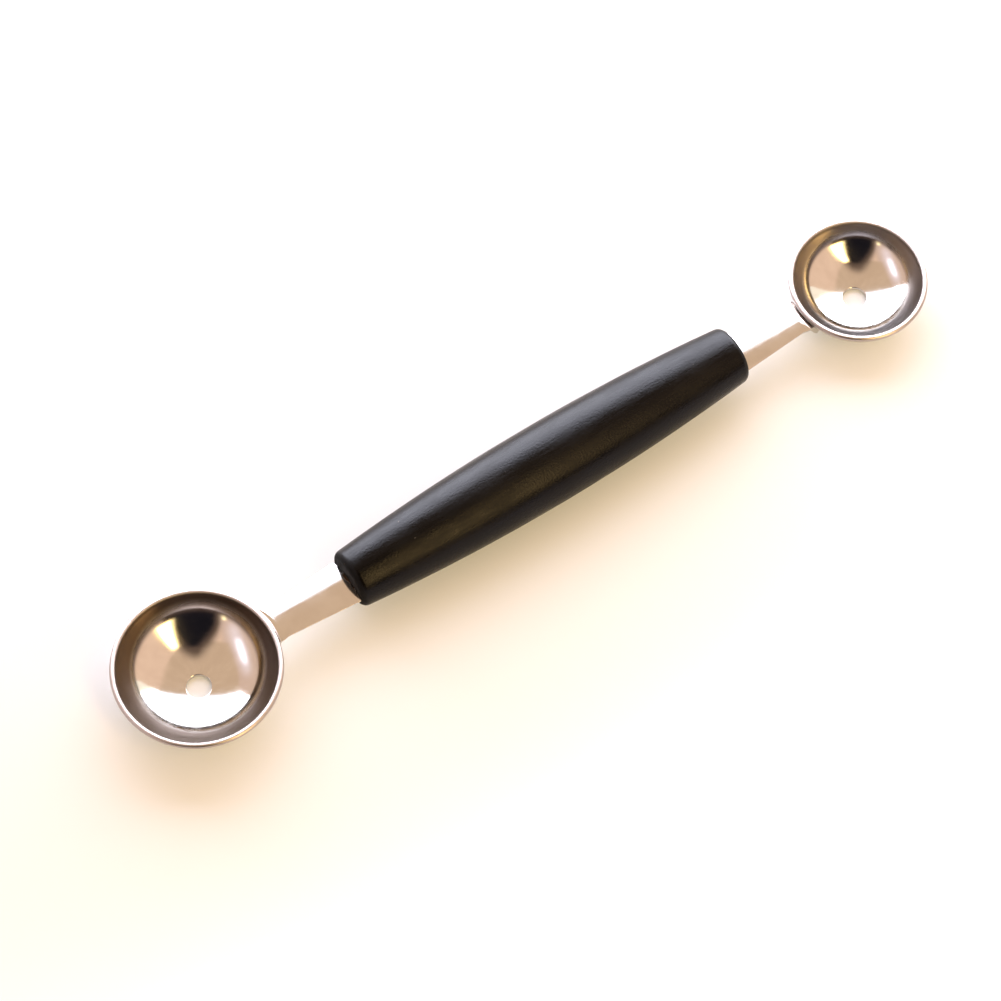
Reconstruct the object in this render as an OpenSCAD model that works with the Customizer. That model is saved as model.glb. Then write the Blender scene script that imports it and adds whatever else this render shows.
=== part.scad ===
// Double-ended melon baller, in millimetres.
// The tool lies along X with both bowls open upwards: the large bowl is at -X and the small one
// at +X. The table is z = 0, and the bowls stand on the edges of their drain holes.

/* [Large bowl] */
// Width of the ball that the large bowl cuts, across the inside of its rim
large_ball_d = 30; // [26:0.5:34]
// Depth of the large bowl inside, from rim to bottom
large_depth = 8.5; // [7:0.1:10]
// Radius that the middle of the large bowl is dished to, inside
large_crown_r = 24.5; // [20:0.5:32]
// Radius that the large bowl's wall turns up to the rim on, inside
large_corner_r = 12.1; // [10:0.1:13.5]
// Sheet thickness of the large bowl
large_wall = 1; // [0.8:0.1:1.4]
// Drain hole of the large bowl
large_hole_d = 4.7; // [3:0.1:6]

/* [Small bowl] */
// Width of the ball that the small bowl cuts, across the inside of its rim
small_ball_d = 25; // [22:0.5:28]
// Depth of the small bowl inside, from rim to bottom
small_depth = 7.3; // [6:0.1:8.5]
// Radius that the middle of the small bowl is dished to, inside
small_crown_r = 20; // [16:0.5:26]
// Radius that the small bowl's wall turns up to the rim on, inside
small_corner_r = 9.2; // [8:0.1:11]
// Sheet thickness of the small bowl
small_wall = 1; // [0.8:0.1:1.4]
// Drain hole of the small bowl
small_hole_d = 4.6; // [3:0.1:6]

/* [Large shank] */
// Shank that shows between the large bowl's rim and the handle
large_shank_l = 17; // [12:0.1:24]
// Width of the large shank at the handle
large_shank_w = 9.5; // [8:0.1:11]
// Width of the large shank at the bowl
large_neck_w = 7; // [6:0.1:9]

/* [Small shank] */
// Shank that shows between the small bowl's rim and the handle
small_shank_l = 15.9; // [12:0.1:24]
// Width of the small shank at the handle
small_shank_w = 8.9; // [8:0.1:11]
// Width of the small shank at the bowl
small_neck_w = 6.6; // [6:0.1:8]

/* [Lip] */
// Thickness of the round bead that the sheet's edge is pressed into
lip_d = 1.1; // [1.05:0.05:1.3]

/* [Shank strip] */
// Thickness of the shank strip
strip_t = 0.9; // [0.7:0.1:1.2]
// Radius of the arch pressed across the strip, on its upper face
arch_r = 16; // [12:0.5:24]
// Height of the bowl's lip above the crown of the strip
lip_stand = 0.65; // [0.5:0.05:0.9]
// How far the strip widens on each side where it meets the lip
neck_flare = 0.3; // [0:0.05:0.6]
// Length of that widening
neck_flare_l = 1.2; // [0.6:0.1:2]
// Length of the lap that is welded under the bowl, along its curve
lap_l = 5; // [3:0.1:7]
// Radius on the corners of the lap
lap_corner_r = 1.8; // [0.5:0.1:2.5]
// Room between the lap and the bowl
weld_gap = 0.04; // [0.02:0.01:0.1]

/* [Handle] */
// Length of the handle
handle_l = 88; // [70:0.5:110]
// Diameter at the middle of the barrel
handle_mid_d = 15.7; // [14.5:0.1:17]
// Diameter at the ends of the barrel, before the edges are rounded
handle_end_d = 11.4; // [10.8:0.1:13]
// Radius on the edges of the handle's ends
handle_edge_r = 1.5; // [0.8:0.1:2]
// Height of the handle's belly above the table
belly_rise = 0.3; // [0.1:0.05:0.6]

/* [Tang] */
// Length of each tang inside the handle
tang_l = 26; // [18:0.5:32]
// Width of the tang at the mouth of its slot
tang_w = 5.4; // [4.5:0.1:6]
// Width of the tang near its tip
tang_tip_w = 4; // [3:0.1:4.4]
// Barbs on each side of the tang
barb_count = 4; // [2:1:6]
// How far a barb stands out
barb_h = 0.35; // [0.2:0.05:0.5]
// Room between the tang and the walls of its slot
slot_gap = 0.12; // [0.05:0.01:0.25]
// Room between the strip's shoulders and the handle's end
shoulder_gap = 0.1; // [0.05:0.01:0.3]

/* [Hidden] */
$fn = 96;
// The barrel curve is a short stretch of a very large circle, so it is drawn in finer steps
barrel_fn = 720;

// One overrun for every cut
over = 1;

// The sizes of each bowl, in the order in which the functions below read them
large = [large_ball_d, large_depth, large_crown_r, large_corner_r, large_wall, large_hole_d];
small = [small_ball_d, small_depth, small_crown_r, small_corner_r, small_wall, small_hole_d];
function ball_d(bowl) = bowl[0];
function depth(bowl) = bowl[1];
function crown_r(bowl) = bowl[2];
function corner_r(bowl) = bowl[3];
function wall(bowl) = bowl[4];
function hole_d(bowl) = bowl[5];

// A bowl's section is two arcs that run into each other: the crown in its middle and the corner
// that turns up to the rim. The angles are measured at an arc's centre from straight down
function arc_shift(bowl) = crown_r(bowl) - corner_r(bowl);
// Angle at which the arcs meet, from the triangle of their centres and the rim
function join_angle(bowl) =
    let(out = ball_d(bowl) / 2, up = crown_r(bowl) - depth(bowl), far = norm([out, up]))
    atan2(out, up) - acos((pow(far, 2) + pow(arc_shift(bowl), 2) - pow(corner_r(bowl), 2))
                          / (2 * arc_shift(bowl) * far));
// Height of the crown's centre when the edge of the drain hole stands on the table
function crown_z(bowl) = sqrt(pow(crown_r(bowl) + wall(bowl), 2) - pow(hole_d(bowl) / 2, 2));
// Centre of the corner: its distance from the bowl's axis and its height
function corner_x(bowl) = arc_shift(bowl) * sin(join_angle(bowl));
function corner_z(bowl) = crown_z(bowl) - arc_shift(bowl) * cos(join_angle(bowl));
function rim_angle(bowl) = asin((ball_d(bowl) / 2 - corner_x(bowl)) / corner_r(bowl));
// Centre of the lip's bead: its distance from the bowl's axis and its height
function lip_x(bowl) = corner_x(bowl) + (corner_r(bowl) + wall(bowl) / 2) * sin(rim_angle(bowl));
function lip_z(bowl) = corner_z(bowl) - (corner_r(bowl) + wall(bowl) / 2) * cos(rim_angle(bowl));

// Outer radii of the bowls, over their lips
large_rim_r = lip_x(large) + lip_d / 2;
small_rim_r = lip_x(small) + lip_d / 2;

// The tool from end to end, and the places along it
overall_l = 2 * large_rim_r + large_shank_l + handle_l + small_shank_l + 2 * small_rim_r;
large_x = large_rim_r - overall_l / 2;
small_x = overall_l / 2 - small_rim_r;
handle_x = large_x + large_rim_r + large_shank_l + handle_l / 2;
handle_z = handle_mid_d / 2 + belly_rise;

// Crown of each strip, under the lip of its bowl
large_strip_z = lip_z(large) + lip_d / 2 - lip_stand;
small_strip_z = lip_z(small) + lip_d / 2 - lip_stand;

// Radius of the handle's barrel curve, from its two diameters
barrel_sagitta = (handle_mid_d - handle_end_d) / 2;
barrel_r = (pow(handle_l / 2, 2) + pow(barrel_sagitta, 2)) / (2 * barrel_sagitta);
barrel_c = handle_mid_d / 2 - barrel_r;

// A stretch of a ring about the origin, between two angles from straight down
module ring_stretch(inner_r, sheet_t, from_angle, to_angle) {
    reach = 2 * (inner_r + sheet_t);
    intersection() {
        difference() {
            circle(r = inner_r + sheet_t);
            circle(r = inner_r);
        }
        polygon([
            [0, 0],
            [reach * sin(from_angle), -reach * cos(from_angle)],
            [reach * sin(to_angle), -reach * cos(to_angle)]
        ]);
    }
}

// A dished bowl about its own axis, with a bead at its lip and a drain hole
module dished_bowl(bowl) {
    rotate_extrude() difference() {
        union() {
            translate([0, crown_z(bowl)])
                ring_stretch(crown_r(bowl), wall(bowl), 0, join_angle(bowl));
            translate([corner_x(bowl), corner_z(bowl)])
                ring_stretch(corner_r(bowl), wall(bowl), join_angle(bowl), rim_angle(bowl));
            translate([lip_x(bowl), lip_z(bowl)]) circle(d = lip_d);
        }
        translate([0, -over]) square([hole_d(bowl) / 2, wall(bowl) + 2 * over]);
    }
}

// Rise of the strip from the bowl to the handle, in degrees: the strip is straight, and the middle
// of its tang lies on the handle's axis
function strip_tilt(shank_l, strip_z) =
    atan((handle_z + arch_height(tang_w) / 2 - strip_z) / (shank_l + tang_l / 2));
// Height of an arched strip of a given width, from its lower edges to its crown
function arch_height(w) = arch_r - sqrt(pow(arch_r, 2) - pow(w / 2, 2)) + strip_t;

// Places its children on a strip, which runs along their X axis from the bowl's rim at x = 0, with
// its crown at z = 0. Outside, the bowl's axis is at x = 0 and the handle lies towards +X
module on_strip(rim_r, shank_l, strip_z) {
    translate([rim_r, 0, strip_z]) rotate([0, -strip_tilt(shank_l, strip_z), 0]) children();
}

// The arch that a strip is pressed to
module arch_band(from_x, to_x, top_r, t) {
    translate([from_x, 0, -top_r]) rotate([0, 90, 0]) difference() {
        cylinder(r = top_r, h = to_x - from_x);
        translate([0, 0, -over]) cylinder(r = top_r - t, h = to_x - from_x + 2 * over);
    }
}

// Half of the tang's width at a distance from its shoulders, without its barbs
function tang_half(s) = (tang_w + (tang_tip_w - tang_w) * s / tang_l) / 2;

// Outline of a strip, seen from above: the flared neck, the tapered shank, the shoulders, and the
// tang, whose barbs let it into the handle and not out again
module strip_outline(neck_x, shoulder_x, neck_w, shank_w) {
    pitch = tang_l / (barb_count + 1);
    side = [
        [neck_x, neck_w / 2 + neck_flare],
        [0, neck_w / 2 + neck_flare],
        [neck_flare_l, neck_w / 2],
        [shoulder_x, shank_w / 2],
        for (i = [0 : barb_count])
            each [
                [shoulder_x + i * pitch, tang_half(i * pitch) + (i == 0 ? 0 : barb_h)],
                [shoulder_x + (i + 1) * pitch, tang_half((i + 1) * pitch)]
            ]
    ];
    polygon(concat(side, [for (i = [len(side) - 1 : -1 : 0]) [side[i][0], -side[i][1]]]));
}

// Outline of the lap, laid flat: it ends at x = 0 with rounded corners
module lap_outline(l, w) {
    corner_y = w / 2 - lap_corner_r;
    for (side = [-1, 1]) translate([lap_corner_r, side * corner_y]) circle(r = lap_corner_r);
    translate([0, -corner_y]) square([l, 2 * corner_y]);
    translate([lap_corner_r, -w / 2]) square([l - lap_corner_r, w]);
}

// A shank of arched strip: it runs from a lap under the bowl to the barbed tang in the handle
module shank(bowl, shank_l, shank_w, neck_w, strip_z) {
    seat_r = corner_r(bowl) + wall(bowl) + weld_gap;
    rim_r = lip_x(bowl) + lip_d / 2;
    neck_x = -wall(bowl) - strip_t;
    shoulder_x = shank_l - shoulder_gap;
    // The lap follows the bowl's outside from under the crown of the strip
    lap_top = acos((corner_z(bowl) - strip_z + strip_t) / (seat_r + strip_t));
    lap_end = lap_top - lap_l / seat_r * 180 / PI;
    reach = 2 * seat_r;
    difference() {
        union() {
            on_strip(rim_r, shank_l, strip_z) intersection() {
                arch_band(neck_x, shoulder_x + tang_l, arch_r, strip_t);
                translate([0, 0, -arch_r]) linear_extrude(2 * arch_r)
                    strip_outline(neck_x, shoulder_x, neck_w, shank_w);
            }
            intersection() {
                rotate_extrude() translate([corner_x(bowl), corner_z(bowl)])
                    ring_stretch(seat_r, strip_t, join_angle(bowl), lap_top);
                translate([corner_x(bowl), 0, corner_z(bowl)]) rotate([0, -lap_end, 0])
                    translate([0, 0, -reach]) linear_extrude(reach) lap_outline(reach, neck_w);
                // Under the top of the arch
                on_strip(rim_r, shank_l, strip_z) translate([-rim_r, 0, -arch_r])
                    rotate([0, 90, 0]) cylinder(r = arch_r, h = reach);
            }
        }
        // Room for the bowl: the outside of its corner, and its lip
        rotate_extrude() intersection() {
            translate([corner_x(bowl), corner_z(bowl)]) circle(r = seat_r);
            square([corner_x(bowl) + seat_r, corner_z(bowl)]);
        }
        translate([0, 0, lip_z(bowl)]) rotate_extrude()
            translate([lip_x(bowl), 0]) circle(r = lip_d / 2 + weld_gap);
    }
}

// Slot for the tang of a strip, drawn where the strip is
module tang_slot(rim_r, shank_l, strip_z) {
    end_x = shank_l + tang_l - shoulder_gap + slot_gap;
    half_mouth = tang_half(0) + barb_h + slot_gap;
    half_end = tang_half(tang_l) + barb_h + slot_gap;
    on_strip(rim_r, shank_l, strip_z) translate([0, 0, slot_gap]) intersection() {
        arch_band(shank_l - over, end_x, arch_r + slot_gap, strip_t + 2 * slot_gap);
        translate([0, 0, -arch_r]) linear_extrude(2 * arch_r) polygon([
            [shank_l - over, -half_mouth],
            [end_x, -half_end],
            [end_x, half_end],
            [shank_l - over, half_mouth]
        ]);
    }
}

module large_bowl() {
    color("silver") translate([large_x, 0, 0]) dished_bowl(large);
}

module small_bowl() {
    color("silver") translate([small_x, 0, 0]) dished_bowl(small);
}

module large_shank() {
    color("gainsboro") translate([large_x, 0, 0])
        shank(large, large_shank_l, large_shank_w, large_neck_w, large_strip_z);
}

module small_shank() {
    color("gainsboro") translate([small_x, 0, 0]) rotate(180)
        shank(small, small_shank_l, small_shank_w, small_neck_w, small_strip_z);
}

// Half of the handle's outline: the radius runs along X and the handle's length along Y
module handle_profile() {
    edge_y = handle_l / 2 - handle_edge_r;
    edge_x = barrel_c + sqrt(pow(barrel_r - handle_edge_r, 2) - pow(edge_y, 2));
    // Where the barrel curve runs into the rounded edge
    join_y = edge_y * barrel_r / (barrel_r - handle_edge_r);
    intersection() {
        translate([barrel_c, 0]) circle(r = barrel_r, $fn = barrel_fn);
        translate([0, -join_y]) square([handle_mid_d, 2 * join_y]);
    }
    translate([0, -handle_l / 2]) square([edge_x, handle_l]);
    for (side = [-1, 1]) translate([edge_x, side * edge_y]) circle(r = handle_edge_r);
}

module handle() {
    color("#1b1614") difference() {
        translate([handle_x, 0, handle_z])
            rotate([0, 90, 0]) rotate_extrude() handle_profile();
        translate([large_x, 0, 0]) tang_slot(large_rim_r, large_shank_l, large_strip_z);
        translate([small_x, 0, 0]) rotate(180) tang_slot(small_rim_r, small_shank_l, small_strip_z);
    }
}

large_bowl();
large_shank();
handle();
small_shank();
small_bowl();
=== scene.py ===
import math

import bmesh
import bpy
from mathutils import Euler, Matrix, Vector


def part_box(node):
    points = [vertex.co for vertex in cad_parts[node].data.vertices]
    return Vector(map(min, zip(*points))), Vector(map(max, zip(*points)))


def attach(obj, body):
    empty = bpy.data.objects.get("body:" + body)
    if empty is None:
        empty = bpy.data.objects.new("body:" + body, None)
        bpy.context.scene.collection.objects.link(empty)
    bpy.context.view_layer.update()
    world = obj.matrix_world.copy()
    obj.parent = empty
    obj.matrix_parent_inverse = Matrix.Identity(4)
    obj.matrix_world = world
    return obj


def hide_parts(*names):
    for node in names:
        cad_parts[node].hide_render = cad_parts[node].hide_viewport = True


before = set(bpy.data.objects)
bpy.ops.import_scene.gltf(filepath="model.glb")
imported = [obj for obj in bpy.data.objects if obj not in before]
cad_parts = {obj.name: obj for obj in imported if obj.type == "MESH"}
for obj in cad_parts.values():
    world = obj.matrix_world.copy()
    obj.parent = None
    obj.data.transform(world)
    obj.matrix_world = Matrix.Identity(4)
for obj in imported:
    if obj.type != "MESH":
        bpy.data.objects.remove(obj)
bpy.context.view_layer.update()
mm = 0.001

# The two bowls. Each is a disc of stainless sheet, pressed to a shallow crown whose wall turns up
# to the rim on a tighter curve, and drilled in the middle. Its edge is left as a slightly thicker
# round bead, which cuts the fruit, and the whole is polished on a spindle.
wall = 1 * mm
lip_d = 1.1 * mm
lip_blend = 0.6 * mm
hole_round = 0.15 * mm
bowl_steps = 256
inside_steps = (26, 76)
outside_steps = (14, 40)
bead_steps = 20
hole_edge_steps = 6
crowding = 1.4
seam_gap = 0.001 * mm
BOWLS = {
    "large_bowl": {"ball_d": 30 * mm, "depth": 8.5 * mm, "crown_r": 24.5 * mm, "corner_r": 12.1 * mm,
                   "hole_d": 4.7 * mm},
    "small_bowl": {"ball_d": 25 * mm, "depth": 7.3 * mm, "crown_r": 20 * mm, "corner_r": 9.2 * mm,
                   "hole_d": 4.6 * mm},
}


def smooth(x):
    """Eases from 0 to 1 as x does."""
    x = min(max(x, 0), 1)
    return x * x * (3 - 2 * x)


def polar(centre, reach, angle):
    """A point of the section: reach away from a centre, at an angle from straight down."""
    return centre + reach * Vector((math.sin(angle), -math.cos(angle)))


class Section:
    """The two arcs of a bowl's section, as (distance from the bowl's axis, height over the table)."""

    def __init__(self, ball_d, depth, crown_r, corner_r, hole_d):
        self.crown_r, self.corner_r, self.hole_d = crown_r, corner_r, hole_d
        shift = crown_r - corner_r
        out, up = ball_d / 2, crown_r - depth
        far = math.hypot(out, up)
        self.join = math.atan2(out, up) - math.acos(
            (far ** 2 + shift ** 2 - corner_r ** 2) / (2 * shift * far))
        self.crown = Vector((0, math.sqrt((crown_r + wall) ** 2 - (hole_d / 2) ** 2)))
        self.corner = polar(self.crown, shift, self.join)
        self.rim = math.asin((out - self.corner.x) / corner_r)
        self.lip = polar(self.corner, corner_r + wall / 2, self.rim)

    def face(self, side, crown_count, corner_count):
        """One face of the sheet, from the hole to the lip: side is -1 inside and 1 outside. Points
        crowd towards the lip, where the face eases out to the bead."""
        reach = self.crown_r + wall / 2 + side * wall / 2
        start = math.asin((self.hole_d / 2 + hole_round) / reach)
        points = [polar(self.crown, reach, start + (self.join - start) * i / crown_count)
                  for i in range(crown_count)]
        for i in range(corner_count + 1):
            angle = self.join + (self.rim - self.join) * (1 - (1 - i / corner_count) ** crowding)
            near = smooth(1 - (self.rim - angle) * self.corner_r / lip_blend)
            reach = self.corner_r + wall / 2 + side * (wall / 2 + (lip_d - wall) / 2 * near)
            points.append(polar(self.corner, reach, angle))
        return points

    def outline(self):
        """Closed outline of the sheet: inside, bead, outside, and the rounded edges of the hole."""
        inside = self.face(-1, *inside_steps)
        outside = self.face(1, *outside_steps)
        bead = [polar(self.lip, lip_d / 2, self.rim + math.pi - math.pi * i / bead_steps)
                for i in range(1, bead_steps)]
        edges = []
        for end, to_centre, first in ((outside[0], hole_round, 0), (inside[0], -hole_round, -90)):
            for i in range(1, hole_edge_steps):
                angle = math.radians(first - 90 * i / hole_edge_steps)
                edges.append(polar(end + Vector((0, to_centre)), hole_round, angle))
        return inside + bead + outside[::-1] + edges


def only(obj):
    """Makes obj the one selected and active object."""
    bpy.ops.object.select_all(action="DESELECT")
    obj.select_set(True)
    bpy.context.view_layer.objects.active = obj


def outline_ring(name, points):
    """A ring of edges with one corner at each point."""
    bpy.ops.object.select_all(action="DESELECT")
    bpy.ops.mesh.primitive_circle_add(vertices=len(points), radius=1 * mm)
    ring = bpy.context.object
    ring.name = name
    for corner, point in zip(ring.data.vertices, points):
        corner.co = point
    return ring


def turn_on_lathe(ring, steps, centre, axis):
    """Spins the ring of edges right round an axis and closes the seam."""
    only(ring)
    bpy.ops.object.mode_set(mode="EDIT")
    bpy.ops.mesh.select_all(action="SELECT")
    bpy.ops.mesh.spin(steps=steps, angle=math.tau, center=centre, axis=axis)
    bpy.ops.mesh.select_all(action="SELECT")
    bpy.ops.mesh.remove_doubles(threshold=seam_gap)
    bpy.ops.mesh.delete_loose(use_verts=True, use_edges=True, use_faces=False)
    bpy.ops.mesh.select_all(action="SELECT")
    bpy.ops.mesh.normals_make_consistent(inside=False)
    bpy.ops.object.mode_set(mode="OBJECT")
    bpy.ops.object.shade_smooth()


def middle_x(node):
    """Middle of a node along the tool."""
    low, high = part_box(node)
    return (low.x + high.x) / 2


def new_material(name):
    """A node material with its Principled shader."""
    material = bpy.data.materials.new(name)
    material.use_nodes = True
    return material, material.node_tree, material.node_tree.nodes["Principled BSDF"]


def add(tree, kind, **settings):
    """Adds a node and sets its properties."""
    node = tree.nodes.new(kind)
    for key, value in settings.items():
        setattr(node, key, value)
    return node


def math_node(tree, operation, *values):
    """A Math node; the values are sockets or numbers."""
    node = add(tree, "ShaderNodeMath", operation=operation)
    for slot, value in zip(node.inputs, values):
        if isinstance(value, bpy.types.NodeSocket):
            tree.links.new(value, slot)
        else:
            slot.default_value = value
    return node.outputs[0]


def noise(tree, vector, scale, detail=4, roughness=0.55):
    """Noise of a size: scale is in waves to the metre."""
    node = add(tree, "ShaderNodeTexNoise")
    node.inputs["Scale"].default_value = scale
    node.inputs["Detail"].default_value = detail
    node.inputs["Roughness"].default_value = roughness
    tree.links.new(vector, node.inputs["Vector"])
    return node.outputs["Fac"]


def scaled(tree, vector, scale, shift=(0, 0, 0)):
    """A vector shifted and then scaled on each axis."""
    node = add(tree, "ShaderNodeMapping")
    node.inputs["Location"].default_value = [s * k for s, k in zip(shift, scale)]
    node.inputs["Scale"].default_value = scale
    tree.links.new(vector, node.inputs["Vector"])
    return node.outputs[0]


def spread(tree, value, low, high, to_low, to_high):
    """Maps low..high smoothly to to_low..to_high, clamped."""
    node = add(tree, "ShaderNodeMapRange", interpolation_type="SMOOTHSTEP")
    tree.links.new(value, node.inputs["Value"])
    for key, number in (("From Min", low), ("From Max", high), ("To Min", to_low), ("To Max", to_high)):
        node.inputs[key].default_value = number
    return node.outputs["Result"]


def blend(tree, factor, below, above):
    """Mixes two colours, each a socket or a plain colour."""
    node = add(tree, "ShaderNodeMix", data_type="RGBA")
    tree.links.new(factor, node.inputs["Factor"])
    for key, colour in (("A", below), ("B", above)):
        if isinstance(colour, bpy.types.NodeSocket):
            tree.links.new(colour, node.inputs[key])
        else:
            node.inputs[key].default_value = (*colour, 1)
    return node.outputs["Result"]


def relief(tree, shader, height, distance):
    """Gives the shader a bump: a height of 1 stands for the distance."""
    bump = add(tree, "ShaderNodeBump")
    bump.inputs["Strength"].default_value = 1
    bump.inputs["Distance"].default_value = distance
    tree.links.new(height, bump.inputs["Height"])
    tree.links.new(bump.outputs["Normal"], shader.inputs["Normal"])


def new_group(name, outputs):
    """A shader node group that takes a Vector and puts out the named values."""
    group = bpy.data.node_groups.new(name, "ShaderNodeTree")
    group.interface.new_socket("Vector", in_out="INPUT", socket_type="NodeSocketVector")
    for output in outputs:
        group.interface.new_socket(output, in_out="OUTPUT", socket_type="NodeSocketFloat")
    return group, group.nodes.new("NodeGroupInput").outputs[0], group.nodes.new("NodeGroupOutput").inputs


# Marks of the polishing wheel, in waves to the metre. The vector's X runs along them and its Y
# across: fine lines, broader waves that the press left under them, and cloudy smears.
line_waves = (60, 3500, 3500)
press_waves = (25, 800, 800)
smear_waves = 220
polish, along, put_out = new_group("polish marks", ("Lines", "Waves", "Smears"))
polish.links.new(noise(polish, scaled(polish, along, line_waves), 1, detail=3), put_out["Lines"])
polish.links.new(noise(polish, scaled(polish, along, press_waves), 1, detail=2), put_out["Waves"])
polish.links.new(noise(polish, along, smear_waves, detail=5), put_out["Smears"])
steel_tones = ((0.655, 0.625, 0.6), (0.7, 0.675, 0.655))
tone_span = (0.3, 0.7)
dull_span = (0.35, 0.65)
line_share = 0.4


def steel(name, marks_vector, roughness, line_depth, wave_depth):
    """Polished stainless steel, with polish marks laid along the vector that marks_vector makes."""
    material, tree, shader = new_material(name)
    shader.inputs["Metallic"].default_value = 1
    marks = add(tree, "ShaderNodeGroup", node_tree=polish)
    tree.links.new(marks_vector(tree), marks.inputs["Vector"])
    tone = spread(tree, marks.outputs["Smears"], *tone_span, 0, 1)
    tree.links.new(blend(tree, tone, *steel_tones), shader.inputs["Base Color"])
    dull = math_node(tree, "ADD", math_node(tree, "MULTIPLY", marks.outputs["Lines"], line_share),
                     math_node(tree, "MULTIPLY", marks.outputs["Smears"], 1 - line_share))
    tree.links.new(spread(tree, dull, *dull_span, *roughness), shader.inputs["Roughness"])
    height = math_node(tree, "ADD", math_node(tree, "MULTIPLY", marks.outputs["Lines"], line_depth / mm),
                       math_node(tree, "MULTIPLY", marks.outputs["Waves"], wave_depth / mm))
    relief(tree, shader, height, 1 * mm)
    return material, tree, shader


def from_axis(tree, x):
    """Distance from a bowl's axis, and the place's X, Y and Z from the foot of that axis."""
    place = scaled(tree, add(tree, "ShaderNodeTexCoord").outputs["Object"], (1, 1, 1), (-x, 0, 0))
    parts = add(tree, "ShaderNodeSeparateXYZ")
    tree.links.new(place, parts.inputs[0])
    squares = [math_node(tree, "POWER", parts.outputs[i], 2) for i in (0, 1)]
    return math_node(tree, "SQRT", math_node(tree, "ADD", *squares)), parts.outputs


def round_the_bowl(x):
    """Vector of the marks on a bowl: X runs half round the bowl's axis and back, so that no seam
    shows, and Y out from it."""
    def build(tree):
        out, place = from_axis(tree, x)
        turn = math_node(tree, "ABSOLUTE", math_node(tree, "ARCTAN2", place[1], place[0]))
        joined = add(tree, "ShaderNodeCombineXYZ")
        tree.links.new(math_node(tree, "MULTIPLY", turn, marks_r), joined.inputs[0])
        tree.links.new(out, joined.inputs[1])
        return joined.outputs[0]
    return build


def bowl_steel(node, x, section, wall_reflection_tints):
    """Bowl finish. Inside, the wheel hardly reaches the steep wall, less so on one side, and the wall stays
    duller there. The steep wall's colour is painted reflection and shade, with one tone on the far side and
    another on the camera's side. The bead is finished on a grinder, and its inner edge is painted dark as
    shade."""
    material, tree, shader = steel(node + " steel", round_the_bowl(x), bowl_roughness, *bowl_mark_depths)
    out, place = from_axis(tree, x)
    inner_r = section.lip.x - lip_d / 2
    bead_low, bead_high = [section.lip.y - drop for drop in bead_drops]
    bead = math_node(tree, "MULTIPLY", spread(tree, out, *[inner_r + past for past in bead_edge], 0, 1),
                     spread(tree, place[2], bead_low, bead_high, 0, 1))
    squares = [math_node(tree, "POWER", math_node(tree, "SUBTRACT", value, centre), 2)
               for value, centre in ((out, section.corner.x), (place[2], section.corner.y))]
    through = math_node(tree, "SQRT", math_node(tree, "ADD", *squares))
    inside = spread(tree, through, *[section.corner_r + share * wall for share in inner_layer], 1, 0)
    side = math_node(tree, "DIVIDE", math_node(tree, "ADD", *[
        math_node(tree, "MULTIPLY", offset, share) for offset, share in zip(place, toward_camera)]), out)
    leaned_out = math_node(tree, "MULTIPLY_ADD", side, steep_wall_lean * inner_r, out)
    steep = math_node(tree, "MULTIPLY", inside, spread(
        tree, leaned_out, *[share * inner_r for share in steep_wall_limit], 0, 1))
    # Painted reflection and shade on the steep wall, with one tone on each side.
    painted_wall_reflection = blend(tree, spread(tree, side, -side_span, side_span, 0, 1), *wall_reflection_tints)
    plain = shader.inputs["Base Color"].links[0].from_socket
    with_painted_wall = blend(tree, steep, plain, painted_wall_reflection)
    # The bead's inner edge is painted dark as shade; further out it takes the bead's duller tone.
    ground_and_shaded_bead = blend(tree, spread(tree, out, *[inner_r + past for past in bead_shade], 0, 1), *bead_shade_and_tone)
    tree.links.new(blend(tree, bead, with_painted_wall, ground_and_shaded_bead), shader.inputs["Base Color"])
    rough = shader.inputs["Roughness"].links[0].from_socket
    duller = math_node(tree, "ADD", math_node(tree, "MULTIPLY", steep, wall_dulled),
                       math_node(tree, "MULTIPLY", bead, bead_dulled))
    tree.links.new(math_node(tree, "ADD", rough, duller), shader.inputs["Roughness"])
    return material


marks_r = 12 * mm
bowl_roughness = (0.08, 0.13)
bowl_mark_depths = (0.0005 * mm, 0.0012 * mm)
bead_edge = (-0.12 * mm, 0.2 * mm)
bead_drops = (0.75 * mm, 0.45 * mm)
bead_shade = (-0.1 * mm, 0.35 * mm)
# Painted shade at the bead's inner edge, then the bead's own duller tone further out.
bead_shade_and_tone = ((0.06, 0.053, 0.05), (0.47, 0.42, 0.405))
bead_dulled = 0.24
inner_layer = (0.3, 0.7)
toward_camera = (-0.59, -0.81)
side_span = 0.95
steep_wall_limit = (0.76, 0.86)
steep_wall_lean = 0.13
wall_dulled = 0.26
# Painted reflection and shade on each bowl's steep inner wall: the tone on the far side, then the tone on
# the camera's side.
WALL_REFLECTION_TINTS = {"large_bowl": ((0.115, 0.085, 0.07), (0.2, 0.165, 0.145)),
              "small_bowl": ((0.36, 0.315, 0.29), (0.085, 0.08, 0.083))}
for node, sizes in BOWLS.items():
    section = Section(**sizes)
    x = middle_x(node)
    bowl = outline_ring(node + "_sheet", [(x + out, 0, up) for out, up in section.outline()])
    turn_on_lathe(bowl, bowl_steps, (x, 0, 0), (0, 0, 1))
    bowl.data.materials.append(bowl_steel(node, x, section, WALL_REFLECTION_TINTS[node]))
    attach(bowl, "root")
    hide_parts(node)

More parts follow.
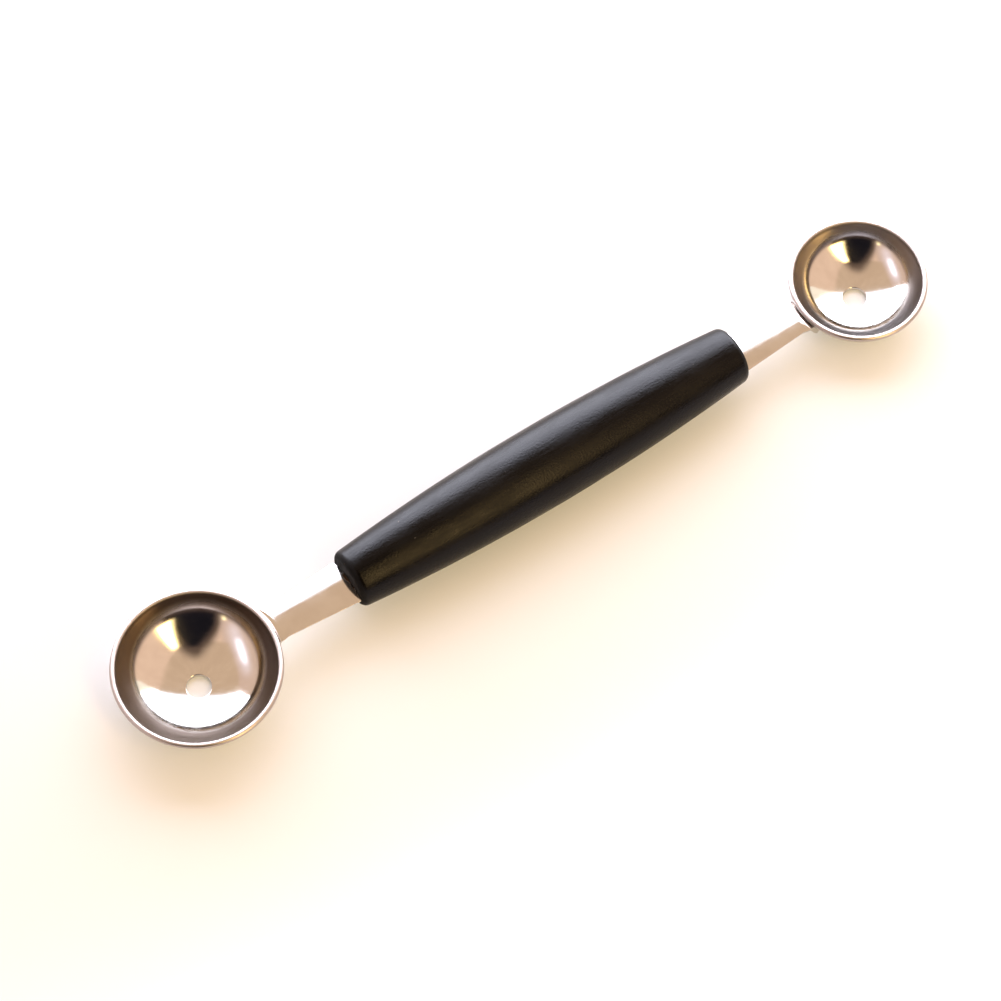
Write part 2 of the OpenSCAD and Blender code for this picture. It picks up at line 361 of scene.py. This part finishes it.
# The two shanks. Each is a stamped strip of stainless steel, pressed to an arch along its middle
# and turned down under its bowl's lip, where the lap is welded to the bowl's outside. The barbed
# tang at its other end is driven into the handle.
strip_t = 0.9 * mm
arch_r = 16 * mm
lip_stand = 0.65 * mm
bend_r = 1.5 * mm
weld_gap = 0.04 * mm
lap_l = 5 * mm
lap_corner_r = 1.8 * mm
neck_flare = 0.3 * mm
neck_flare_l = 1.6 * mm
shoulder_gap = 0.1 * mm
tang_l = 26 * mm
tang_w = 5.4 * mm
tang_tip_w = 4 * mm
barb_count = 4
barb_h = 0.35 * mm
step_l = 0.02 * mm
edge_round = 0.2 * mm
edge_steps = 3
sharp_angle = math.radians(50)
smooth_angle = math.radians(35)
plain_end = 0.12 * mm
across = 28
lap_steps = 16
bend_steps = 12
neck_steps = 12
shank_steps = 24
SHANKS = {
    "large_shank": {"bowl": "large_bowl", "towards": 1, "shank_w": 9.5 * mm, "neck_w": 7 * mm},
    "small_shank": {"bowl": "small_bowl", "towards": -1, "shank_w": 8.9 * mm, "neck_w": 6.6 * mm},
}
handle_low, handle_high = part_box("handle")
handle_axis_z = (handle_low.z + handle_high.z) / 2


def arch_drop(y):
    """How far the arch falls from its crown at a distance y from the middle."""
    return arch_r - math.sqrt(arch_r ** 2 - y ** 2)


def tang_half(s):
    """Half of the tang's width at a distance from its shoulders, without its barbs."""
    return (tang_w + (tang_tip_w - tang_w) * s / tang_l) / 2


class Strip:
    """Where a shank's strip runs: from its bowl's axis at x = 0 towards the handle at +x."""

    def __init__(self, bowl, towards, shank_w, neck_w):
        self.section = Section(**BOWLS[bowl])
        self.towards, self.shank_w, self.neck_w = towards, shank_w, neck_w
        self.bowl_x = middle_x(bowl)
        self.rim_r = self.section.lip.x + lip_d / 2
        end_x = handle_low.x if towards > 0 else handle_high.x
        self.length = abs(end_x - self.bowl_x) - self.rim_r
        self.crown_z = self.section.lip.y + lip_d / 2 - lip_stand
        rise = handle_axis_z + (arch_drop(tang_w / 2) + strip_t) / 2 - self.crown_z
        self.tilt = math.atan(rise / (self.length + tang_l / 2))

    def put(self, x, y, z):
        """A place on the tool."""
        return (self.bowl_x + self.towards * x, self.towards * y, z)

    def on_arch(self, s, y, lift=0):
        """A place on the arch's upper face, at a distance s from the lip along the strip."""
        up = lift - arch_drop(y)
        return self.put(self.rim_r + s * math.cos(self.tilt) - up * math.sin(self.tilt), y,
                        self.crown_z + s * math.sin(self.tilt) + up * math.cos(self.tilt))

    def at_bowl(self, share):
        """Upper face from the end of the lap, round the bend and up to the arch, at a share of the
        width. Also puts out how far from the lip the bend ends."""
        corner, seat_r = self.section.corner, self.section.corner_r + wall + weld_gap
        half = self.neck_w / 2
        y = share * (half + neck_flare)
        centre_z = self.crown_z - arch_drop(y) - bend_r
        reach = math.sqrt((seat_r + bend_r) ** 2 - (corner.y - centre_z) ** 2)
        centre = corner + Vector((reach, centre_z - corner.y))
        touch = math.atan2(reach, corner.y - centre_z)
        lap_top = math.acos((corner.y - self.crown_z + strip_t) / (seat_r + strip_t))
        past = max(abs(share) * half - (half - lap_corner_r), 0)
        cut = lap_corner_r - math.sqrt(lap_corner_r ** 2 - past ** 2)
        lap_end = lap_top - (lap_l - cut) / seat_r
        points = []
        for i in range(lap_steps):
            flat = polar(corner, seat_r, lap_end + (touch - lap_end) * i / lap_steps)
            points.append((flat, share * half))
        for i in range(bend_steps + 1):
            turn = touch * (1 - i / bend_steps)
            flat = centre - bend_r * Vector((math.sin(turn), -math.cos(turn)))
            points.append((flat, share * (half + neck_flare * smooth(i / bend_steps))))
        bend_end = math.sqrt(centre.x ** 2 - y ** 2) - self.rim_r
        return [self.put(math.sqrt(flat.x ** 2 - y ** 2), y, flat.y) for flat, y in points], bend_end

    def rows(self):
        """Rows of places across the strip's upper face, from the lap to the tip of the tang."""
        shoulder = self.length - shoulder_gap
        shares = [math.sin(math.pi * (j / across - 0.5)) for j in range(across + 1)]
        laps, starts = zip(*[self.at_bowl(share) for share in shares])
        rows = [list(row) for row in zip(*laps)]
        free = 2 * neck_flare_l
        for i in range(1, neck_steps + 1):
            row = []
            for share, start in zip(shares, starts):
                s = start + (free - start) * i / neck_steps
                widened = neck_flare * (1 - smooth((s - start) / neck_flare_l))
                row.append(self.on_arch(s, share * (self.half_width(s) + widened)))
            rows.append(row)
        stations = [(free + (shoulder - plain_end - free) * i / shank_steps, None)
                    for i in range(1, shank_steps + 1)]
        stations.append((shoulder - step_l, None))
        pitch = tang_l / (barb_count + 1)
        for i in range(barb_count + 1):
            root = tang_half(i * pitch) + (barb_h if i else 0)
            stations.append((shoulder + i * pitch, root))
            stations.append((shoulder + (i + 1) * pitch - step_l, tang_half((i + 1) * pitch)))
        for s, half in stations:
            half = half or self.half_width(s)
            rows.append([self.on_arch(s, share * half) for share in shares])
        return rows

    def half_width(self, s):
        """Half of the shank's width between the neck and the shoulders."""
        return (self.neck_w + (self.shank_w - self.neck_w) * s / self.length) / 2


def sheet_of_rows(name, rows):
    """A grid whose corners go to the places in the rows. It faces up where the rows follow each other
    along +x and the places in a row along +y."""
    bpy.ops.object.select_all(action="DESELECT")
    long, wide = len(rows) - 1, len(rows[0]) - 1
    bpy.ops.mesh.primitive_grid_add(x_subdivisions=long, y_subdivisions=wide, size=1)
    sheet = bpy.context.object
    sheet.name = name
    for corner in sheet.data.vertices:
        i, j = round((corner.co.x + 0.5) * long), round((corner.co.y + 0.5) * wide)
        corner.co = rows[i][j]
    return sheet


def apply_modifier(obj, kind, **settings):
    """Adds a modifier and applies it."""
    only(obj)
    modifier = obj.modifiers.new(kind.lower(), kind)
    for key, value in settings.items():
        setattr(modifier, key, value)
    bpy.ops.object.modifier_apply(modifier=modifier.name)


def round_edges(obj, width, chosen):
    """Rounds the sharp edges that have both ends chosen."""
    only(obj)
    bpy.ops.object.mode_set(mode="EDIT")
    bpy.ops.mesh.select_mode(type="EDGE")
    bpy.ops.mesh.select_all(action="DESELECT")
    mesh = bmesh.from_edit_mesh(obj.data)
    for edge in mesh.edges:
        sharp = len(edge.link_faces) == 2 and edge.calc_face_angle() > sharp_angle
        edge.select_set(sharp and all(chosen(corner.co) for corner in edge.verts))
    bmesh.update_edit_mesh(obj.data)
    bpy.ops.mesh.bevel(offset=width, segments=edge_steps, affect="EDGES", clamp_overlap=True)
    bpy.ops.mesh.select_mode(type="VERT")
    bpy.ops.mesh.select_all(action="SELECT")
    bpy.ops.mesh.normals_make_consistent(inside=False)
    bpy.ops.object.mode_set(mode="OBJECT")
    bpy.ops.object.shade_smooth_by_angle(angle=smooth_angle)


def along_the_strip(tree):
    """Vector of the marks on a shank: the wheel ran along the tool."""
    return add(tree, "ShaderNodeTexCoord").outputs["Object"]


def shank_steel(node, strip):
    """Shank finish, with a little lacquer that ran on to the steel from the handle's slot."""
    material, tree, shader = steel(node + " steel", along_the_strip, shank_roughness, *shank_mark_depths)
    place = add(tree, "ShaderNodeTexCoord").outputs["Object"]
    parts = add(tree, "ShaderNodeSeparateXYZ")
    tree.links.new(place, parts.inputs[0])
    end_x = strip.bowl_x + strip.towards * (strip.rim_r + strip.length)
    reach = math_node(tree, "MULTIPLY", math_node(tree, "SUBTRACT", end_x, parts.outputs[0]), strip.towards)
    blots = noise(tree, scaled(tree, place, blot_waves, blot_shift), 1, detail=3)
    limit = spread(tree, reach, 0, blot_reach, *blot_limits)
    lacquer = spread(tree, math_node(tree, "SUBTRACT", blots, limit), 0, blot_edge, 0, 1)
    plain = shader.inputs["Base Color"].links[0].from_socket
    tree.links.new(blend(tree, lacquer, plain, blot_colour), shader.inputs["Base Color"])
    tree.links.new(math_node(tree, "SUBTRACT", 1, lacquer), shader.inputs["Metallic"])
    return material


shank_roughness = (0.09, 0.15)
shank_mark_depths = (0.0006 * mm, 0.0016 * mm)
blot_waves = (330, 560, 560)
blot_shift = (0.31, 0.17, 0)
blot_reach = 1.5 * mm
blot_limits = (0.44, 0.85)
blot_edge = 0.03
blot_colour = (0.05, 0.026, 0.014)
strips = {}
for node, sizes in SHANKS.items():
    strip = strips[node] = Strip(**sizes)
    shank = sheet_of_rows(node + "_strip", strip.rows())
    apply_modifier(shank, "SOLIDIFY", thickness=strip_t, offset=-1, use_even_offset=True)
    round_l = strip.rim_r + strip.length - shoulder_gap - plain_end / 2
    round_edges(shank, edge_round, lambda co: (co.x - strip.bowl_x) * strip.towards < round_l)
    shank.data.materials.append(shank_steel(node, strip))
    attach(shank, "root")
    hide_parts(node)

# The handle: one piece of close-grained wood, turned to a barrel with rounded ends, slotted at each
# end for a tang, and dipped in black lacquer that has settled a little unevenly over the grain.
handle_mid_d = 15.7 * mm
handle_end_d = 11.4 * mm
handle_edge_r = 1.5 * mm
slot_gap = 0.12 * mm
handle_steps = 160
barrel_steps = 48
end_edge_steps = 12
end_face_steps = 5
unevenness = 0.07 * mm
swell_l = 14 * mm
swell_middle = 0.6
barrel_smooth_angle = math.radians(40)


def barrel_outline():
    """Outline of one side of the handle, from end to end, as (distance from its middle, radius)."""
    half_l = (handle_high.x - handle_low.x) / 2
    sag = (handle_mid_d - handle_end_d) / 2
    barrel_r = (half_l ** 2 + sag ** 2) / (2 * sag)
    barrel_c = handle_mid_d / 2 - barrel_r
    edge_s = half_l - handle_edge_r
    edge_up = barrel_c + math.sqrt((barrel_r - handle_edge_r) ** 2 - edge_s ** 2)
    lean = math.atan2(edge_s, edge_up - barrel_c)
    right = []
    for i in range(barrel_steps + 1):
        angle = lean * i / barrel_steps
        right.append((barrel_r * math.sin(angle), barrel_c + barrel_r * math.cos(angle)))
    for i in range(1, end_edge_steps + 1):
        angle = lean + (math.pi / 2 - lean) * i / end_edge_steps
        right.append((edge_s + handle_edge_r * math.sin(angle), edge_up + handle_edge_r * math.cos(angle)))
    right += [(half_l, edge_up * (1 - i / end_face_steps)) for i in range(1, end_face_steps + 1)]
    return [(-s, up) for s, up in right[:0:-1]] + right


def slot_cutter(node, strip):
    """The space that a slot takes out of the handle: the tang's own arch, with room all round."""
    rows = []
    mouth = (strip.length - handle_edge_r, tang_half(0))
    bottom = (strip.length + tang_l, tang_half(tang_l))
    for s, half in (mouth, bottom):
        reach = half + barb_h + slot_gap
        rows.append([strip.on_arch(s, reach * (2 * j / across - 1), slot_gap) for j in range(across + 1)])
    cutter = sheet_of_rows(node + "_slot", rows)
    apply_modifier(cutter, "SOLIDIFY", thickness=strip_t + 2 * slot_gap, offset=-1, use_even_offset=True)
    return cutter


def lacquered_wood(name):
    """Black lacquer over wood: long faint grain, an orange-peel speckle, dust and worn ends."""
    material, tree, shader = new_material(name)
    place = add(tree, "ShaderNodeTexCoord").outputs["Object"]
    grain = noise(tree, scaled(tree, place, grain_waves), 1, detail=6, roughness=0.62)
    figure = noise(tree, scaled(tree, place, figure_waves), 1, detail=4)
    peel = noise(tree, place, peel_waves, detail=3)
    clouds = noise(tree, place, cloud_waves, detail=4)
    colour = blend(tree, spread(tree, figure, *figure_span, 0, 1), *lacquer_tones)
    parts = add(tree, "ShaderNodeSeparateXYZ")
    tree.links.new(place, parts.inputs[0])
    from_middle = math_node(tree, "ABSOLUTE", math_node(
        tree, "SUBTRACT", parts.outputs[0], (handle_high.x + handle_low.x) / 2))
    from_end = math_node(tree, "SUBTRACT", (handle_high.x - handle_low.x) / 2, from_middle)
    chips = noise(tree, place, chip_waves, detail=4)
    limit = spread(tree, from_end, *chip_reach, *chip_limits)
    worn = spread(tree, math_node(tree, "SUBTRACT", chips, limit), 0, chip_edge, 0, 1)
    colour = blend(tree, worn, colour, bare_wood)
    dust = spread(tree, noise(tree, place, dust_waves, detail=2), *dust_span, 0, dust_cover)
    tree.links.new(blend(tree, dust, colour, dust_colour), shader.inputs["Base Color"])
    dull = math_node(tree, "ADD", math_node(tree, "MULTIPLY", clouds, 0.5),
                     math_node(tree, "MULTIPLY", grain, 0.5))
    lacquered = spread(tree, dull, *gloss_span, *handle_roughness)
    end_grain = spread(tree, from_end, *end_grain_reach, end_grain_dulled, 0)
    tree.links.new(math_node(tree, "ADD", lacquered, end_grain), shader.inputs["Roughness"])
    shader.inputs["Specular IOR Level"].default_value = 0.15
    shader.inputs["Specular Tint"].default_value = (0.93, 0.94, 1, 1)
    height = math_node(tree, "ADD", math_node(tree, "MULTIPLY", grain, grain_share),
                       math_node(tree, "ADD", math_node(tree, "MULTIPLY", figure, figure_share),
                                 math_node(tree, "MULTIPLY", peel, peel_share)))
    relief(tree, shader, height, lacquer_relief)
    return material


grain_waves = (200, 1500, 1500)
figure_waves = (60, 300, 300)
peel_waves = 2600
cloud_waves = 90
grain_share, figure_share, peel_share = 1.2, 1.8, 2.4
lacquer_relief = 0.02 * mm
figure_span = (0.35, 0.7)
lacquer_tones = ((0.0014, 0.0009, 0.0006), (0.003, 0.0021, 0.0013))
gloss_span = (0.36, 0.64)
handle_roughness = (0.22, 0.41)
end_grain_reach = (0.15 * mm, 1.2 * mm)
end_grain_dulled = 0.4
chip_waves = 1100
chip_reach = (0.1 * mm, 1.6 * mm)
chip_limits = (0.69, 0.95)
chip_edge = 0.04
bare_wood = (0.12, 0.07, 0.038)
dust_waves = 1300
dust_span = (0.77, 0.8)
dust_cover = 0.8
dust_colour = (0.2, 0.19, 0.18)
handle_middle_x = middle_x("handle")
barrel_places = [(handle_middle_x + s, 0, handle_axis_z + up) for s, up in barrel_outline()]
barrel = outline_ring("handle_barrel", barrel_places)
turn_on_lathe(barrel, handle_steps, (0, 0, handle_axis_z), (1, 0, 0))
swell = bpy.data.textures.new("settled lacquer", "CLOUDS")
swell.noise_scale = swell_l
apply_modifier(barrel, "DISPLACE", texture=swell, texture_coords="LOCAL", strength=unevenness,
               mid_level=swell_middle)
for node, strip in strips.items():
    cutter = slot_cutter(node, strip)
    apply_modifier(barrel, "BOOLEAN", operation="DIFFERENCE", solver="EXACT", object=cutter)
    bpy.data.objects.remove(cutter)
only(barrel)
bpy.ops.object.shade_smooth_by_angle(angle=barrel_smooth_angle)
barrel.data.materials.clear()
barrel.data.materials.append(lacquered_wood("black lacquer"))
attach(barrel, "root")
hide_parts("handle")

# The table under the tool: a plain pale floor, which shows as white paper and keeps the shadow. In an oval
# round the tool its glow is painted a little warmer and darker, as shade.
floor_r = 4000 * mm
floor_steps = 128
floor_colour = (0.69, 0.685, 0.74, 1)
oval = (0.3, 1, 1)
tint_reach = (36 * mm, 80 * mm)
# Painted shade: near the tool the floor's glow is warmer and weaker than further out.
floor_shade_tints = ((0.92, 0.92, 0.64), (1, 1, 1.3))
lift_reach = (32 * mm, 76 * mm)
floor_lifts = (0.19, 0.35)
bpy.ops.object.select_all(action="DESELECT")
bpy.ops.mesh.primitive_circle_add(vertices=floor_steps, radius=floor_r, fill_type="TRIFAN")
floor = bpy.context.object
floor.name = "floor"
material, tree, shader = new_material("pale floor")
shader.inputs["Base Color"].default_value = floor_colour
shader.inputs["Roughness"].default_value = 0.9
shader.inputs["Specular IOR Level"].default_value = 0
path = add(tree, "ShaderNodeLightPath")
seen = math_node(tree, "MAXIMUM", path.outputs["Is Camera Ray"], path.outputs["Is Glossy Ray"])
reach = add(tree, "ShaderNodeVectorMath", operation="LENGTH")
place = add(tree, "ShaderNodeTexCoord").outputs["Object"]
tree.links.new(scaled(tree, place, oval), reach.inputs[0])
# Painted shade: the floor's glow is warmer and weaker in an oval round the tool.
clear = spread(tree, reach.outputs["Value"], *tint_reach, 0, 1)
tree.links.new(blend(tree, clear, *floor_shade_tints), shader.inputs["Emission Color"])
lift = spread(tree, reach.outputs["Value"], *lift_reach, *floor_lifts)
tree.links.new(math_node(tree, "MULTIPLY", seen, lift), shader.inputs["Emission Strength"])
floor.data.materials.append(material)

# The camera, at the photograph's viewing angle. It looks down on the tool from its near side.
heading = math.radians(35.96)
elevation = math.radians(63.45)
roll = math.radians(2.36)
focal_px = 3978.1
frame_px = 1001
camera_place = Vector((-204.1, -272.0, 676.6)) * mm
sensor_w = 36
nearest = 10 * mm
bpy.ops.object.camera_add(location=camera_place)
camera = bpy.context.object
turned = Euler((math.pi / 2 - elevation, 0, -heading)).to_matrix() @ Matrix.Rotation(roll, 3, "Z")
camera.rotation_euler = turned.to_euler()
camera.data.sensor_width = sensor_w
camera.data.lens = focal_px / frame_px * sensor_w
camera.data.clip_start = nearest
scene = bpy.context.scene
scene.camera = camera
scene.view_settings.view_transform = "Standard"
scene.cycles.max_bounces = 16
scene.cycles.glossy_bounces = 12

# A white card stands on the far side of the table, with a bulging top edge. The steel and the
# handle mirror it. It is brightest a little below its middle, and its right end is in a warm shade.
to_right = Vector((math.cos(heading), -math.sin(heading), 0))
to_far = Vector((math.sin(heading), math.cos(heading), 0))
to_up = Vector((0, 0, 1))
card_left = -310 * mm
card_right = 450 * mm
card_top = 400 * mm
card_left_bulge_r = 650 * mm
card_right_bulge_r = 480 * mm
card_corner_r = 30 * mm
card_far = 250 * mm
card_steps = 80
card_tints = ((0.97, 0.98, 1.08), (1, 0.9, 0.74))
card_cast = 3.8
card_fade = (190 * mm, 370 * mm)
card_glow = (15, 2)
card_foot = 110 * mm
card_foot_share = 0.5
card_shade = (200 * mm, 310 * mm)
card_shade_glow = 1.4


def along_axis(tree, place, start, axis):
    """Distance along an axis from a start."""
    dot = add(tree, "ShaderNodeVectorMath", operation="DOT_PRODUCT")
    tree.links.new(place, dot.inputs[0])
    dot.inputs[1].default_value = axis
    return math_node(tree, "SUBTRACT", dot.outputs["Value"], start.dot(axis))


foot = Vector((middle_x("large_bowl"), 0, 0)) + to_far * card_far
rows = []
for i in range(card_steps + 1):
    aside = card_right + (card_left - card_right) * (1 - math.cos(math.pi * i / card_steps)) / 2
    past = max(card_corner_r - min(card_right - aside, aside - card_left), 0)
    cut = card_corner_r - math.sqrt(card_corner_r ** 2 - past ** 2)
    bulge_r = card_right_bulge_r if aside > 0 else card_left_bulge_r
    top = card_top - aside ** 2 / (2 * bulge_r) - cut
    rows.append([foot + to_right * aside, foot + to_right * aside + Vector((0, 0, top))])
card = sheet_of_rows("card", rows)
material, tree, shader = new_material("white card")
shader.inputs["Base Color"].default_value = (0, 0, 0, 1)
place = add(tree, "ShaderNodeTexCoord").outputs["Object"]
shaded = spread(tree, along_axis(tree, place, foot, to_right), *card_shade, 0, 1)
tree.links.new(blend(tree, shaded, *card_tints), shader.inputs["Emission Color"])
parts = add(tree, "ShaderNodeSeparateXYZ")
tree.links.new(place, parts.inputs[0])
mirrored = math_node(tree, "MULTIPLY", spread(tree, parts.outputs[2], *card_fade, *card_glow),
                     spread(tree, parts.outputs[2], 0, card_foot, card_foot_share, 1))
lit = math_node(tree, "MULTIPLY", mirrored, math_node(tree, "SUBTRACT", 1, shaded))
dimmed = math_node(tree, "ADD", lit, math_node(tree, "MULTIPLY", shaded, card_shade_glow))
choice = add(tree, "ShaderNodeMix")
tree.links.new(add(tree, "ShaderNodeLightPath").outputs["Is Glossy Ray"], choice.inputs["Factor"])
choice.inputs["A"].default_value = card_cast
tree.links.new(dimmed, choice.inputs["B"])
tree.links.new(choice.outputs["Result"], shader.inputs["Emission Strength"])
card.data.materials.append(material)
card.visible_camera = False

# A long lamp in a warm shade hangs on the right, nearer than the walls. It is set out by the
# directions of its two ends from the large bowl: degrees from overhead, to the right and away.
lamp_distance = 1300 * mm
lamp_ends = ((20, -11.5), (51, -51))
lamp_half_widths = (70 * mm, 260 * mm)
lamp_bright = (8, 5.4, 2.2)
lamp_edge = (2.1, 1.6, 0.75)
lamp_spare = 0.1
lamp_start = (-0.08, 0.1)
lamp_stop = (0.95, 1.08)
lamp_core = (0.7, 1)
shade_fade = (0.95, 1.5)
shade_width = 1.6


def from_large_bowl(right, away):
    """A place at the lamp's distance from the large bowl, in a direction."""
    tilt = math.hypot(right, away)
    aside = (to_right * right + to_far * away) / tilt
    towards = aside * math.sin(math.radians(tilt)) + to_up * math.cos(math.radians(tilt))
    return Vector((middle_x("large_bowl"), 0, 0)) + lamp_distance * towards


start, end = [from_large_bowl(*direction) for direction in lamp_ends]
lamp_l = (end - start).length
lamp_axis = (end - start).normalized()
lamp_side = lamp_axis.cross(start).normalized()
widening = lamp_half_widths[1] - lamp_half_widths[0]
rows = []
for share in (-lamp_spare, 1 + lamp_spare):
    half = lamp_half_widths[0] + widening * share
    middle = start + lamp_axis * lamp_l * share
    rows.append([middle + lamp_side * half * edge for edge in (-shade_width, shade_width)])
lamp = sheet_of_rows("lamp", rows)
material, tree, shader = new_material("lamp shade")
place = add(tree, "ShaderNodeTexCoord").outputs["Object"]
along = along_axis(tree, place, start, lamp_axis)
half = math_node(tree, "MULTIPLY_ADD", along, widening / lamp_l, lamp_half_widths[0])
sideways = math_node(tree, "ABSOLUTE", along_axis(tree, place, start, lamp_side))
off = math_node(tree, "DIVIDE", sideways, half)
ends = math_node(tree, "MULTIPLY", spread(tree, along, *[share * lamp_l for share in lamp_start], 0, 1),
                 spread(tree, along, *[share * lamp_l for share in lamp_stop], 1, 0))
bright = math_node(tree, "MULTIPLY", spread(tree, off, *lamp_core, 1, 0), ends)
shader.inputs["Base Color"].default_value = (0, 0, 0, 1)
tree.links.new(blend(tree, bright, lamp_edge, lamp_bright), shader.inputs["Emission Color"])
shader.inputs["Emission Strength"].default_value = 1
shown = math_node(tree, "MULTIPLY", spread(tree, off, *shade_fade, 1, 0), ends)
tree.links.new(shown, shader.inputs["Alpha"])
lamp.data.materials.append(material)
lamp.visible_camera = False

# The room round the table, as a chart of the sky: degrees from straight overhead, to the right
# and away from the camera. Each of its areas has a soft edge, also in degrees.
world = scene.world or bpy.data.worlds.new("room")
scene.world = world
world.use_nodes = True
sky = world.node_tree
sky.nodes.clear()
direction = add(sky, "ShaderNodeTexCoord").outputs["Generated"]
faced = add(sky, "ShaderNodeVectorRotate", rotation_type="Z_AXIS")
faced.inputs["Angle"].default_value = heading
sky.links.new(direction, faced.inputs["Vector"])
parts = add(sky, "ShaderNodeSeparateXYZ")
sky.links.new(faced.outputs[0], parts.inputs[0])
from_overhead = math_node(sky, "DEGREES", math_node(sky, "ARCCOSINE", parts.outputs[2]))
squares = [math_node(sky, "POWER", parts.outputs[i], 2) for i in (0, 1)]
level = math_node(sky, "MAXIMUM", math_node(sky, "SQRT", math_node(sky, "ADD", *squares)), 0.0001)
degrees_per_level = math_node(sky, "DIVIDE", from_overhead, level)
chart = add(sky, "ShaderNodeCombineXYZ")
for i in (0, 1):
    sky.links.new(math_node(sky, "MULTIPLY", parts.outputs[i], degrees_per_level), chart.inputs[i])


def area(soft, corners):
    """Mask of a soft-edged area on the chart. Its corners run clockwise, and none turns inwards."""
    mask = None
    for start, end in zip(corners, corners[1:] + corners[:1]):
        side = (Vector(end) - Vector(start)).normalized()
        inward = Vector((side.y, -side.x, 0))
        dot = add(sky, "ShaderNodeVectorMath", operation="DOT_PRODUCT")
        sky.links.new(chart.outputs[0], dot.inputs[0])
        dot.inputs[1].default_value = inward
        edge = inward.dot(Vector((*start, 0)))
        inside = spread(sky, dot.outputs["Value"], edge - soft, edge + soft, 0, 1)
        mask = math_node(sky, "MULTIPLY", mask, inside) if mask else inside
    return mask


walls = (1.12, 0.78, 0.56)
left_wall = (0.95, 0.68, 0.53)
ceiling = (0.86, 0.61, 0.41)
window_haze = (1.3, 1.1, 1.1)
window = (2.5, 2.35, 2.6)
small_lamp = (2.6, 2.1, 1.2)
dusk = (0.17, 0.11, 0.08)
dark = (0.012, 0.011, 0.015)
low = (0.09, 0.055, 0.04)
low_from = (72, 84)
near_side = (-0.2, 0.5)
AREAS = (
    (left_wall, 5, ((-120, 120), (-28, 120), (-28, -120), (-120, -120))),
    (ceiling, 3, ((-40, 60), (30, 60), (22, -4), (14, -24), (-36, -24))),
    (window_haze, 12, ((-62, 14), (-46, 14), (-39, -4), (-42, -54), (-54, -54), (-64, -4))),
    (window, 6, ((-57, 2), (-49, 2), (-45, -8), (-47, -30), (-54, -30), (-58, -8))),
    (small_lamp, 2, ((-41, -61), (-34, -61), (-34, -69), (-41, -69))),
    (dusk, 6, ((-4, -2), (8, -2), (62, -66), (64, -95), (-38, -95), (-30, -50))),
    (dark, 6, ((0, -12), (7, -12), (60, -69), (62, -95), (-30, -95), (-24, -56))),
)
tone = walls
for colour, soft, corners in AREAS:
    tone = blend(sky, area(soft, corners), tone, colour)
near = spread(sky, math_node(sky, "DIVIDE", parts.outputs[1], level), *near_side, 1, 0)
under = math_node(sky, "MULTIPLY", spread(sky, from_overhead, *low_from, 0, 1), near)
tone = blend(sky, under, tone, low)
room = add(sky, "ShaderNodeBackground")
sky.links.new(tone, room.inputs["Color"])
paper = add(sky, "ShaderNodeBackground")
paper.inputs["Color"].default_value = (1, 1, 1, 1)
choice = add(sky, "ShaderNodeMixShader")
sky.links.new(add(sky, "ShaderNodeLightPath").outputs["Is Camera Ray"], choice.inputs[0])
sky.links.new(room.outputs[0], choice.inputs[1])
sky.links.new(paper.outputs[0], choice.inputs[2])
sky.links.new(choice.outputs[0], add(sky, "ShaderNodeOutputWorld").inputs["Surface"])
